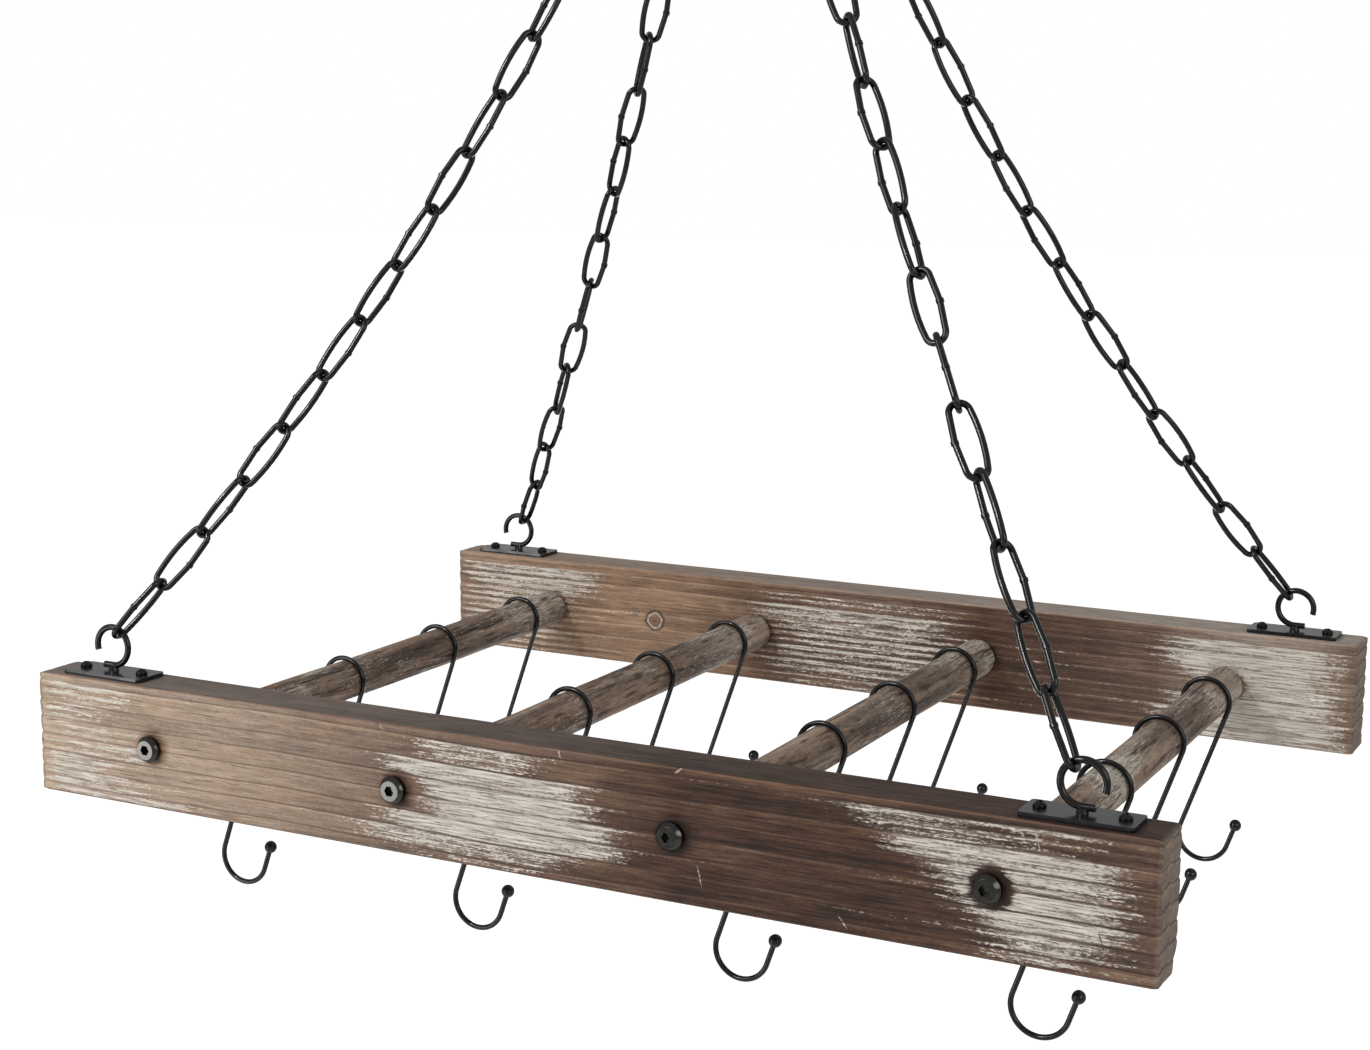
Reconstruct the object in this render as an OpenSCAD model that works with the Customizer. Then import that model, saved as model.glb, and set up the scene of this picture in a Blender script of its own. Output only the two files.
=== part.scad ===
// Hanging pot rack. Two timber beams are bolted to the ends of four round rungs. Each rung
// carries four S-shaped pot hooks that swing on it, and a chain rises from each end of each
// beam to one ring on a ceiling hook.
// Millimetres, +Z up, X along the beams, Y along the rungs. The origin is the middle of the
// ceiling plate's upper face, so the whole rack hangs below Z = 0.

/* [Timber frame] */
// Length of each beam
beam_l = 750; // [640:5:900]
// Height of each beam
beam_h = 80; // [60:1:110]
// Thickness of each beam
beam_t = 36; // [28:1:50]
// Radius of the beams' long edges
beam_edge_r = 2; // [0.5:0.5:5]
// Bevel on the sawn ends of the beams
beam_end_bevel = 1.2; // [0.4:0.2:3]
// Width of the frame over both beams
frame_w = 540; // [480:10:700]
// Number of rungs
rung_count = 4; // [4:1:4]
// Distance from rung to rung
rung_pitch = 188; // [175:1:195]
// Diameter of each rung
rung_d = 29; // [24:0.5:34]
// Bevel on the ends of the rungs
rung_bevel = 2; // [0.5:0.5:4]

/* [Rung bolts] */
// Diameter of the bolt's shank
bolt_d = 8; // [6:0.5:10]
// Length of the shank under the head
bolt_l = 56; // [50:1:64]
// Diameter of the head where it meets the beam
bolt_head_d = 17; // [14:0.5:20]
// Diameter of the head's flat face
bolt_face_d = 12.4; // [11:0.2:16]
// Height of the head
bolt_head_h = 5.6; // [4:0.2:8]
// Height of the head's straight rim
bolt_rim_h = 3.2; // [1:0.2:3.6]
// Hexagon socket across its flats
socket_af = 6; // [4:0.5:8]
// Depth of the socket
socket_depth = 3.4; // [2:0.2:3.8]
// Outer diameter of the threaded insert in each rung end
insert_d = 11; // [10.5:0.5:14]
// Length of the threaded insert
insert_l = 22; // [15:1:30]

/* [Hanger plates] */
// Length of each plate on the beams
plate_l = 63; // [55:1:75]
// Width of the plate
plate_w = 26; // [20:1:28]
// Thickness of the plate
plate_t = 2.6; // [1.5:0.1:4]
// Radius of the plate's corners
plate_corner_r = 2.5; // [1:0.5:5]
// From the end of the beam to the middle of the plate
plate_inset = 49; // [40:1:60]
// Distance between the two screws of a plate
screw_pitch = 46.5; // [38:0.5:48]
// Diameter of the screw's shank
screw_d = 4; // [3:0.5:5]
// Length of the screw's shank under the head
screw_l = 25; // [15:1:35]
// Diameter of the screw's head
screw_head_d = 7.6; // [6.5:0.1:9]
// Height of the screw's head
screw_head_h = 3.6; // [3:0.1:4.4]
// Height of the straight rim of the head
screw_rim_h = 1.7; // [1:0.1:2.2]
// Width of the cross recess in the head
recess_w = 1.1; // [0.8:0.1:1.4]
// Length of the cross recess
recess_l = 4.2; // [3.4:0.1:4.6]
// Depth of the cross recess
recess_depth = 1.6; // [1:0.1:2]

/* [Hanger hooks] */
// Wire of the open hook on each plate
hanger_wire = 4.2; // [3:0.2:5]
// Radius of the hook along the middle of its wire
hanger_r = 12.6; // [11:0.1:15]
// How far the hook's foot runs past the middle of the plate
hanger_foot = 7; // [4:0.5:10]
// How far the point of the hook ends below its middle, in degrees
hanger_tip = 16; // [0:1:30]
// Diameter of the stub that joins the foot to the plate
stub_d = 7; // [5:0.5:9]
// Height of the stub under the wire
stub_h = 1.4; // [1:0.1:4]
// How much narrower the stub is where it meets the wire
stub_taper = 1.2; // [0:0.1:2]

/* [Chains] */
// Number of links in each chain
link_count = 18; // [14:1:22]
// Wire of a link
link_wire = 4; // [3:0.1:4.5]
// Length of a link over its wire
link_l = 51; // [44:0.5:58]
// Width of a link over its wire, at the middle
link_w = 19.4; // [18:0.1:22]
// Width of a link over its wire, where its ends begin
link_end_w = 16.4; // [15.6:0.2:16.4]
// Least turn from each link to the next, in degrees
link_twist = 76; // [74:1:90]
// How much steeper each link of the two tighter chains stands than the one below it, in degrees
chain_bow = 0.6; // [0.3:0.05:1.2]
// Diameter of the weld on one side of a link
weld_d = 4.9; // [4.6:0.1:5.2]
// Length of the weld
weld_l = 2; // [1:0.2:3]

/* [Ceiling fixing] */
// Wire of the ring that gathers the four chains
ring_wire = 5; // [4:0.2:6]
// Radius of the ring along the middle of its wire
ring_r = 22.5; // [20:0.5:28]
// Wire of the ceiling hook
ceiling_wire = 6; // [5:0.2:7]
// Radius of the ceiling hook along the middle of its wire
ceiling_r = 15.5; // [14:0.5:18]
// How far the ceiling hook's foot runs past the middle of its plate
ceiling_foot = 8; // [5:0.5:11]
// Diameter of the stub that joins the ceiling hook to its plate
ceiling_stub_d = 10; // [9:0.5:13]
// Length of the ceiling plate
ceiling_plate_l = 78; // [68:1:100]
// Width of the ceiling plate
ceiling_plate_w = 32; // [26:1:44]
// Thickness of the ceiling plate
ceiling_plate_t = 3; // [2:0.5:5]
// Distance between the ceiling plate's two holes
ceiling_hole_pitch = 56; // [48:1:60]
// Diameter of the ceiling plate's holes
ceiling_hole_d = 5.2; // [4:0.2:7]

/* [Pot hooks] */
// Number of pot hooks on each rung
hooks_per_rung = 4; // [4:1:4]
// Distance from hook to hook along a rung
hook_pitch = 121; // [100:1:130]
// Wire of a pot hook
hook_wire = 3.5; // [3:0.1:4.5]
// Length of the straight shank
shank_l = 91; // [70:1:110]
// How far the shank leans from upright, in degrees
shank_lean = 19; // [12:1:26]
// Radius of the lower curl along the middle of its wire
curl_r = 17.6; // [14:0.2:20]
// Straight end of the wire, from the curl to the middle of the ball
curl_tail = 17; // [8:0.5:18]
// Diameter of the ball on the end
ball_d = 8.4; // [6:0.2:11]
// How far the upper loop runs past its own level, in degrees
loop_wrap = 14; // [0:1:20]

/* [Clearances] */
// Between a pot hook's loop and its rung
loop_gap = 0.3; // [0.1:0.05:0.6]
// Between two links, or a link and what it hangs on
link_gap = 0.15; // [0.1:0.05:0.3]
// Around a bolt in a beam and in its insert
bolt_gap = 0.2; // [0.1:0.05:0.4]
// Beyond the end of a bolt in its rung
bolt_end_gap = 4; // [2:0.5:8]
// Around a screw in its plate and its beam, and round an insert in its rung
snug_gap = 0.1; // [0.05:0.05:0.2]

/* [Hidden] */
$fn = 64;

front = -1;
back = 1;
left = -1;
right = 1;
sides = [-1, 1];
overrun = 1;
arc_share = 0.6;
stub_sink = 0.4;
recess_turn = 35;

wood = [0.47, 0.38, 0.31];
dark_wood = [0.36, 0.29, 0.25];
black_steel = [0.10, 0.10, 0.11];
zinc = [0.62, 0.62, 0.60];

// Places of the beams, plates and rungs
beam_y = (frame_w - beam_t) / 2;
plate_x = beam_l / 2 - plate_inset;
rung_l = frame_w - 2 * beam_t;
bolt_bore_r = bolt_d / 2 + bolt_gap;
bolt_reach = bolt_l - beam_t;
function rung_x(i) = (i - (rung_count + 1) / 2) * rung_pitch;
function hook_y(j) = (j - (hooks_per_rung + 1) / 2) * hook_pitch;

// Heights above the middle of the frame
plate_base_up = beam_h / 2;
plate_top_up = plate_base_up + plate_t;
hanger_up = plate_top_up + stub_h + hanger_wire / 2 + hanger_r;

// Heights below the ceiling
ceiling_hook_z = -ceiling_plate_t - stub_h - ceiling_wire / 2 - ceiling_r;
ring_pivot_z = ceiling_hook_z - ceiling_r;
ring_z = ring_pivot_z + (ceiling_wire + ring_wire) / 2 + link_gap - ring_r;

// Link shape: end arcs of radius end_r, a straight welded side with a slight bend at its
// middle, and a plain side that bows in one long arc
wire_l = link_l - link_wire;
end_r = (link_end_w - link_wire) / 2;
half_w = (link_w - link_wire) / 2;
arc_up = wire_l / 2 - end_r;
weld_lean = acos(end_r / norm([half_w, arc_up])) - atan2(arc_up, half_w);
bow_r = (half_w * half_w + arc_up * arc_up - end_r * end_r) / (2 * (half_w - end_r));
bow_angle = asin(arc_up / (bow_r - end_r));

// Steps of a chain, measured along it between the middles of the wires that bear on each other
hanger_step = (hanger_wire + link_wire) / 2 + link_gap;
link_step = link_wire + link_gap;
ring_step = (ring_wire + link_wire) / 2 + link_gap;
function step_back(i) = i == 0 ? hanger_step : link_step;
function step_up(i) = wire_l - step_back(i) - (i == link_count - 1 ? ring_step : 0);

// The chain seen from the side: each link stands "bow" degrees steeper than the one below
function chord(bow, i = 0) =
    i == link_count ? [0, 0] : step_up(i) * [cos(i * bow), sin(i * bow)] + chord(bow, i + 1);
function bow_for(length, low = 0, high = 6, tries = 40) =
    tries == 0 ? (low + high) / 2
    : norm(chord((low + high) / 2)) > length ? bow_for(length, (low + high) / 2, high, tries - 1)
    : bow_for(length, low, (low + high) / 2, tries - 1);

// Where a chain leaves its hanger hook: the wire's point that faces along the chain
chain_l = norm(chord(chain_bow));
chord_tilt = atan2(chord(chain_bow)[1], chord(chain_bow)[0]);
chain_elevation = acos(norm([plate_x, beam_y]) / chain_l) - chord_tilt;
seat_angle = atan2(
    sin(chain_elevation),
    cos(chain_elevation) * plate_x / norm([plate_x, beam_y])
);

// Where the chains sit on the ring. The ring hangs in line with the front left and back right
// chains, which lean it their way. The other two pass it almost square, side by side.
ring_azimuth = atan2(beam_y, plate_x);
top_elevation = chain_elevation + (link_count - 1) * chain_bow;
ring_spread = asin((link_wire + 3 * link_gap) / 2 / (ring_r - ring_step));
function ring_lean(x_side, y_side) =
    let (across = atan2(y_side * beam_y, x_side * plate_x) - ring_azimuth)
        atan2(cos(top_elevation) * cos(across), sin(top_elevation));
function ring_angle(x_side, y_side) = x_side * max(ring_spread, abs(ring_lean(x_side, y_side)));
function ring_seat(x_side, y_side) = let (angle = ring_angle(x_side, y_side))
    [0, 0, ring_z] + ring_r * [
        cos(ring_azimuth) * sin(angle), sin(ring_azimuth) * sin(angle), -cos(angle)
    ];
function ring_tangent(x_side, y_side) = direction(ring_azimuth, ring_angle(x_side, y_side));

// The frame hangs as low as the front right chain lets it
seat_x = plate_x - hanger_r * cos(seat_angle);
seat_up = hanger_up + hanger_r * sin(seat_angle);
first_seat = ring_seat(right, front);
first_reach = norm([seat_x - first_seat[0], beam_y + first_seat[1]]);
frame_z = first_seat[2] - sqrt(chain_l * chain_l - first_reach * first_reach) - seat_up;

function hanger_seat(x_side, y_side) = [x_side * seat_x, y_side * beam_y, frame_z + seat_up];
function chain_vector(x_side, y_side) = ring_seat(x_side, y_side) - hanger_seat(x_side, y_side);
function flat(v) = norm([v[0], v[1]]);
function direction(azimuth, elevation) =
    [cos(azimuth) * cos(elevation), sin(azimuth) * cos(elevation), sin(elevation)];
// Place along the chain of the wire on which link i hangs
function link_seat(start, azimuth, elevation, bow, i) =
    i == 0 ? start
    : link_seat(start, azimuth, elevation, bow, i - 1)
        + step_up(i - 1) * direction(azimuth, elevation + (i - 1) * bow);
// Turn of a link about its own axis that sets it square across a wire of the given direction
function square_turn(wire, azimuth, elevation) = atan2(
    wire * [-sin(azimuth), cos(azimuth), 0],
    wire * direction(azimuth, elevation - 90)
) - 90;

loop_r = rung_d / 2 + loop_gap + hook_wire / 2;

module rounded_rect(w, h, r) {
    square([w - 2 * r, h], center = true);
    square([w, h - 2 * r], center = true);
    for (x = sides, y = sides)
        translate([x * (w / 2 - r), y * (h / 2 - r)]) circle(r);
}

module bevelled_rect(w, h, bevel) {
    polygon([
        [-w / 2 + bevel, -h / 2], [w / 2 - bevel, -h / 2], [w / 2, -h / 2 + bevel],
        [w / 2, h / 2 - bevel], [w / 2 - bevel, h / 2], [-w / 2 + bevel, h / 2],
        [-w / 2, h / 2 - bevel], [-w / 2, -h / 2 + bevel]
    ]);
}

// Round wire bent to an arc in the XY plane about the origin
module wire_arc(wire, r, from, to) {
    rotate([0, 0, from])
        mirror([0, to < from ? 1 : 0, 0])
            rotate_extrude(angle = abs(to - from))
                translate([r, 0]) circle(d = wire);
}

// The same, bent from both of its ends, which overlap in the middle, so that each end lies
// exactly where the next piece starts
module joined_arc(wire, r, from, to) {
    wire_arc(wire, r, from, from + arc_share * (to - from));
    wire_arc(wire, r, to, to - arc_share * (to - from));
}

module wire_ring(wire, r) {
    rotate_extrude() translate([r, 0]) circle(d = wire);
}

// Straight round wire in the XY plane
module wire_bar(wire, length, angle) {
    rotate([0, 0, angle]) rotate([0, 90, 0]) cylinder(d = wire, h = length);
}

// A beam lies about its own middle, with its outer face towards -Y
module beam() {
    color(wood)
        difference() {
            intersection() {
                rotate([90, 0, 90])
                    linear_extrude(beam_l, center = true) rounded_rect(beam_t, beam_h, beam_edge_r);
                rotate([90, 0, 0])
                    linear_extrude(beam_t + 2 * overrun, center = true)
                        bevelled_rect(beam_l, beam_h + 2 * beam_end_bevel, 2 * beam_end_bevel);
                linear_extrude(beam_h + 2 * overrun, center = true)
                    bevelled_rect(beam_l, beam_t + 2 * beam_end_bevel, 2 * beam_end_bevel);
            }
            for (i = [1 : rung_count])
                translate([rung_x(i), 0, 0])
                    rotate([90, 0, 0])
                        cylinder(r = bolt_bore_r, h = beam_t + 2 * overrun, center = true);
            for (x_side = sides, end = sides)
                translate([x_side * plate_x + end * screw_pitch / 2, 0, beam_h / 2 - screw_l])
                    cylinder(r = screw_d / 2 + snug_gap, h = screw_l + overrun);
        }
}

module front_beam() {
    translate([0, -beam_y, frame_z]) beam();
}

module back_beam() {
    translate([0, beam_y, frame_z]) rotate([0, 0, 180]) beam();
}

module rung(i) {
    color(dark_wood)
        translate([rung_x(i), 0, frame_z])
            rotate([90, 0, 0])
                difference() {
                    rotate_extrude()
                        polygon([
                            [0, -rung_l / 2], [rung_d / 2 - rung_bevel, -rung_l / 2],
                            [rung_d / 2, -rung_l / 2 + rung_bevel],
                            [rung_d / 2, rung_l / 2 - rung_bevel],
                            [rung_d / 2 - rung_bevel, rung_l / 2], [0, rung_l / 2]
                        ]);
                    for (end = [0, 1])
                        mirror([0, 0, end])
                            translate([0, 0, -rung_l / 2 - overrun]) {
                                cylinder(r = insert_d / 2 + snug_gap, h = insert_l + overrun);
                                cylinder(r = bolt_bore_r, h = bolt_reach + bolt_end_gap + overrun);
                            }
                }
}

// A bolt with its shank along +Z and its head below Z = 0
module rung_bolt() {
    difference() {
        union() {
            cylinder(d = bolt_d, h = bolt_l);
            rotate_extrude()
                polygon([
                    [0, 0], [bolt_head_d / 2, 0], [bolt_head_d / 2, -bolt_rim_h],
                    [bolt_face_d / 2, -bolt_head_h], [0, -bolt_head_h]
                ]);
        }
        translate([0, 0, -bolt_head_h - overrun])
            cylinder(d = socket_af / cos(30), h = socket_depth + overrun, $fn = 6);
    }
}

module at_rung_ends() {
    for (i = [1 : rung_count], y_side = sides)
        translate([rung_x(i), 0, frame_z])
            rotate([y_side * 90, 0, 0])
                children();
}

module rung_bolts() {
    color(black_steel)
        at_rung_ends()
            translate([0, 0, -frame_w / 2]) rung_bolt();
}

module rung_inserts() {
    color(zinc)
        at_rung_ends()
            translate([0, 0, -rung_l / 2])
                difference() {
                    cylinder(d = insert_d, h = insert_l);
                    translate([0, 0, -overrun])
                        cylinder(r = bolt_bore_r, h = insert_l + 2 * overrun);
                }
}

// A fixing plate with two holes, its underside on Z = 0
module fixing_plate(length, w, t, corner_r, hole_pitch, hole_r) {
    color(black_steel)
        difference() {
            linear_extrude(t) rounded_rect(length, w, corner_r);
            for (end = sides)
                translate([end * hole_pitch / 2, 0, -overrun])
                    cylinder(r = hole_r, h = t + 2 * overrun);
        }
}

module hanger_plate(x_side, y_side) {
    translate([x_side * plate_x, y_side * beam_y, frame_z + plate_base_up])
        fixing_plate(plate_l, plate_w, plate_t, plate_corner_r, screw_pitch, screw_d / 2 + snug_gap);
}

// A pan-head screw with its head above Z = 0
module plate_screw() {
    crown_h = screw_head_h - screw_rim_h;
    crown_r = (screw_head_d * screw_head_d / 4 + crown_h * crown_h) / (2 * crown_h);
    difference() {
        union() {
            translate([0, 0, -screw_l]) cylinder(d = screw_d, h = screw_l + screw_rim_h);
            intersection() {
                translate([0, 0, screw_head_h - crown_r]) sphere(crown_r);
                cylinder(d = screw_head_d, h = screw_head_h + overrun);
            }
        }
        for (turn = [0, 90])
            rotate([0, 0, turn])
                translate([-recess_l / 2, -recess_w / 2, screw_head_h - recess_depth])
                    cube([recess_l, recess_w, recess_depth + overrun]);
    }
}

module plate_screws() {
    color(black_steel)
        for (x_side = sides, y_side = sides, end = sides)
            translate([
                x_side * plate_x + end * screw_pitch / 2, y_side * beam_y, frame_z + plate_top_up
            ])
                rotate([0, 0, recess_turn]) plate_screw();
}

// An open hook on a stub: the stub stands on Z = 0, the foot and the mouth are towards +X
module open_hook(wire, r, foot, base_d) {
    color(black_steel) {
        cylinder(d1 = base_d, d2 = base_d - stub_taper, h = stub_h + stub_sink * wire);
        translate([0, 0, stub_h + wire / 2 + r])
            rotate([90, 0, 0]) {
                wire_arc(wire, r, 270, -hanger_tip);
                rotate([0, 0, 270]) translate([r, 0, 0]) wire_bar(wire, foot, 90);
            }
    }
}

module hanger_hook(x_side, y_side) {
    translate([x_side * plate_x, y_side * beam_y, frame_z + plate_top_up])
        rotate([0, 0, x_side == left ? 180 : 0])
            open_hook(hanger_wire, hanger_r, hanger_foot, stub_d);
}

module ceiling_plate() {
    translate([0, 0, -ceiling_plate_t])
        fixing_plate(
            ceiling_plate_l, ceiling_plate_w, ceiling_plate_t, plate_corner_r,
            ceiling_hole_pitch, ceiling_hole_d / 2
        );
}

module ceiling_hook() {
    translate([0, 0, -ceiling_plate_t])
        rotate([180, 0, ring_azimuth + 90]) open_hook(ceiling_wire, ceiling_r, ceiling_foot, ceiling_stub_d);
}

module gather_ring() {
    color(black_steel)
        translate([0, 0, ring_z]) rotate([90, 0, ring_azimuth]) wire_ring(ring_wire, ring_r);
}

// Half of a link, from the middle of its sides up, in the XY plane with the weld on +X
module half_link() {
    intersection() {
        translate([0, arc_up, 0]) {
            joined_arc(link_wire, end_r, weld_lean, 180 - bow_angle);
            rotate([0, 0, weld_lean])
                translate([end_r, 0, 0]) wire_bar(link_wire, wire_l / 2, -90);
            rotate([0, 0, 180 - bow_angle])
                translate([end_r - bow_r, 0, 0]) wire_arc(link_wire, bow_r, 0, 2 * bow_angle);
        }
        translate([-link_w, 0, -link_wire]) cube([2 * link_w, link_l, 2 * link_wire]);
    }
}

// A link along +Z, with the middle of its lower wire on the origin
module chain_link() {
    translate([0, 0, wire_l / 2])
        rotate([90, 0, 0]) {
            for (turn = [0, 1])
                mirror([0, turn, 0]) half_link();
            translate([half_w, -weld_l / 2, 0]) wire_bar(weld_d, weld_l, 90);
        }
}

module chain(x_side, y_side) {
    span = chain_vector(x_side, y_side);
    azimuth = atan2(span[1], span[0]);
    bow = bow_for(norm(span));
    low = atan2(span[2], flat(span)) - atan2(chord(bow)[1], chord(bow)[0]);
    high = low + (link_count - 1) * bow;
    first_turn = square_turn([sin(seat_angle), 0, x_side * cos(seat_angle)], azimuth, low);
    last_turn = square_turn(ring_tangent(x_side, y_side), azimuth, high);
    half_turns = ceil(((link_count - 1) * link_twist - last_turn + first_turn) / 180);
    twist = (last_turn - first_turn + 180 * half_turns) / (link_count - 1);
    color(black_steel)
        for (i = [0 : link_count - 1])
            translate(link_seat(hanger_seat(x_side, y_side), azimuth, low, bow, i)
                - step_back(i) * direction(azimuth, low + i * bow))
                rotate([0, 90 - low - i * bow, azimuth])
                    rotate([0, 0, first_turn + i * twist])
                        chain_link();
}

// A pot hook in the XY plane, its loop about the origin and its mouth towards +X
module pot_hook_wire() {
    rotate([0, 0, -shank_lean]) {
        wire_arc(hook_wire, loop_r, 0, 180 + shank_lean + loop_wrap);
        translate([loop_r, 0, 0]) wire_bar(hook_wire, shank_l, -90);
        translate([loop_r + curl_r, -shank_l, 0]) {
            wire_arc(hook_wire, curl_r, 180, 360);
            translate([curl_r, 0, 0]) {
                wire_bar(hook_wire, curl_tail, 90);
                translate([0, curl_tail, 0]) sphere(d = ball_d);
            }
        }
    }
}

module pot_hook(i, j) {
    color(black_steel)
        translate([rung_x(i), hook_y(j), frame_z])
            rotate([90, 0, 0]) pot_hook_wire();
}

ceiling_plate();
ceiling_hook();
gather_ring();
chain(left, front);  // chain_front_left
chain(right, front);  // chain_front_right
chain(left, back);  // chain_back_left
chain(right, back);  // chain_back_right
hanger_hook(left, front);  // hanger_hook_front_left
hanger_hook(right, front);  // hanger_hook_front_right
hanger_hook(left, back);  // hanger_hook_back_left
hanger_hook(right, back);  // hanger_hook_back_right
hanger_plate(left, front);  // hanger_plate_front_left
hanger_plate(right, front);  // hanger_plate_front_right
hanger_plate(left, back);  // hanger_plate_back_left
hanger_plate(right, back);  // hanger_plate_back_right
plate_screws();
front_beam();
back_beam();
rung(1);  // rung_1
rung(2);  // rung_2
rung(3);  // rung_3
rung(4);  // rung_4
rung_bolts();
rung_inserts();
for (i = [1 : rung_count], j = [1 : hooks_per_rung])
    pot_hook(i, j);
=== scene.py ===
from math import pi
from types import SimpleNamespace

import bpy
import numpy as np
from mathutils import Matrix, Vector


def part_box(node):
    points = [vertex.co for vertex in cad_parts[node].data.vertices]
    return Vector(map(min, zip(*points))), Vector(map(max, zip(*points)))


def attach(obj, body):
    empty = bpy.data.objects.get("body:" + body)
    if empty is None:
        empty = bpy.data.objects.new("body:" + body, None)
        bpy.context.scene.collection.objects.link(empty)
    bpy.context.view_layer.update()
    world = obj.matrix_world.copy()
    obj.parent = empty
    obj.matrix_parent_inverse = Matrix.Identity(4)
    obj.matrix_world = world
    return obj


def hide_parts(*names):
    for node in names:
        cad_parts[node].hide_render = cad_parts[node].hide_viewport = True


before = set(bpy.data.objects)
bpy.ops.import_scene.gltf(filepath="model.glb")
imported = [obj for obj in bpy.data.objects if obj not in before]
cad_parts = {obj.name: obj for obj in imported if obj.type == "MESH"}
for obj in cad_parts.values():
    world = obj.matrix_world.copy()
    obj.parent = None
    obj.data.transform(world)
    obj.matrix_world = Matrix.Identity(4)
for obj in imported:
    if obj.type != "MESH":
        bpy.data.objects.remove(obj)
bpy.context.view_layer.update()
mm = 0.001
print("frame loaded:", len(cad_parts), "nodes")


# sRGB hex to the linear colour that a socket takes
def tone(hexColour):
    parts = [int(hexColour[i:i + 2], 16) / 255 for i in (0, 2, 4)]
    return tuple(c / 12.92 if c <= 0.04045 else ((c + 0.055) / 1.055) ** 2.4 for c in parts) + (1,)


# The socket of that number or name, or the first one in use
def socketOf(sockets, name=None):
    if isinstance(name, int):
        return sockets[name]
    return next(s for s in sockets if s.enabled and name in (None, s.name))


# Adds a node of the kind, which is its type's name without "ShaderNode". A setting goes to the
# node's own field, or to its socket of that name or number. A node, or a node with the name of an
# output, is linked there, and "stops" fills a colour ramp.
def addNode(tree, kind, settings):
    node = tree.nodes.new("ShaderNode" + kind)
    for name, value in settings.items():
        giver, output = (value[0], value[1]) if isinstance(value, tuple) else (value, None)
        if isinstance(giver, bpy.types.Node):
            tree.links.new(socketOf(giver.outputs, output), socketOf(node.inputs, name))
        elif name == "stops":
            steps = node.color_ramp.elements
            for spot, (place, colour) in enumerate(value):
                step = steps[spot] if spot < len(steps) else steps.new(place)
                step.position, step.color = place, tone(colour)
        elif isinstance(name, str) and hasattr(node, name):
            setattr(node, name, value)
        else:
            socketOf(node.inputs, name).default_value = value
    return node


def newMaterial(name):
    material = bpy.data.materials.new(name)
    material.use_nodes = True
    material.node_tree.nodes.clear()
    return material, material.node_tree


noiseSpan = 64      # cells before the noise repeats
noiseMiddle = 0.5   # all noise here runs from 0 to 1


# Smooth noise with one cell to a unit. It repeats after "around" cells of u.
def softNoise(seed, u, v=0.0, around=noiseSpan):
    table = np.random.RandomState(seed).rand(around, noiseSpan)
    u, v = np.broadcast_arrays(np.asarray(u, float), np.asarray(v, float))
    i, j = np.floor(u).astype(int), np.floor(v).astype(int)
    a, b = u - i, v - j
    a, b = a * a * (3 - 2 * a), b * b * (3 - 2 * b)
    near = table[i % around, j % noiseSpan] * (1 - a) + table[(i + 1) % around, j % noiseSpan] * a
    j = j + 1
    far = table[i % around, j % noiseSpan] * (1 - a) + table[(i + 1) % around, j % noiseSpan] * a
    return near * (1 - b) + far * b


# Noise about zero that spans "reach" in all
def wobble(seed, reach, u, v=0.0):
    return reach * (softNoise(seed, u, v) - noiseMiddle)


# A factor of 1 that noise takes up to "loss" from, in cells of that length and width
def broken(seed, u, v, loss, length, width):
    return 1 - loss * (1 - softNoise(seed, u / length, v / width))


# Layers of noise added up, each with its height, and the length and width of its cells
def layers(seed, table, u, v):
    return sum(height * softNoise(seed + spot, u / length, v / width)
               for spot, (height, length, width) in enumerate(table))


def rise(value, low, high):
    share = np.clip((value - low) / (high - low), 0, 1)
    return share * share * (3 - 2 * share)


def hump(value, middle, width):
    return np.exp(-((value - middle) / width) ** 2)


# A mesh object at the origin with its marks held as point attributes for the material
def newPiece(name, points, faces, material, marks=None):
    mesh = bpy.data.meshes.new(name)
    mesh.from_pydata((points * mm).tolist(), [], faces)
    mesh.materials.append(material)
    for mark, values in (marks or {}).items():
        mesh.attributes.new(mark, "FLOAT", "POINT").data.foreach_set("value", values.astype(np.float32))
    mesh.shade_smooth()
    piece = bpy.data.objects.new(name, mesh)
    bpy.context.scene.collection.objects.link(piece)
    return piece


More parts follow.
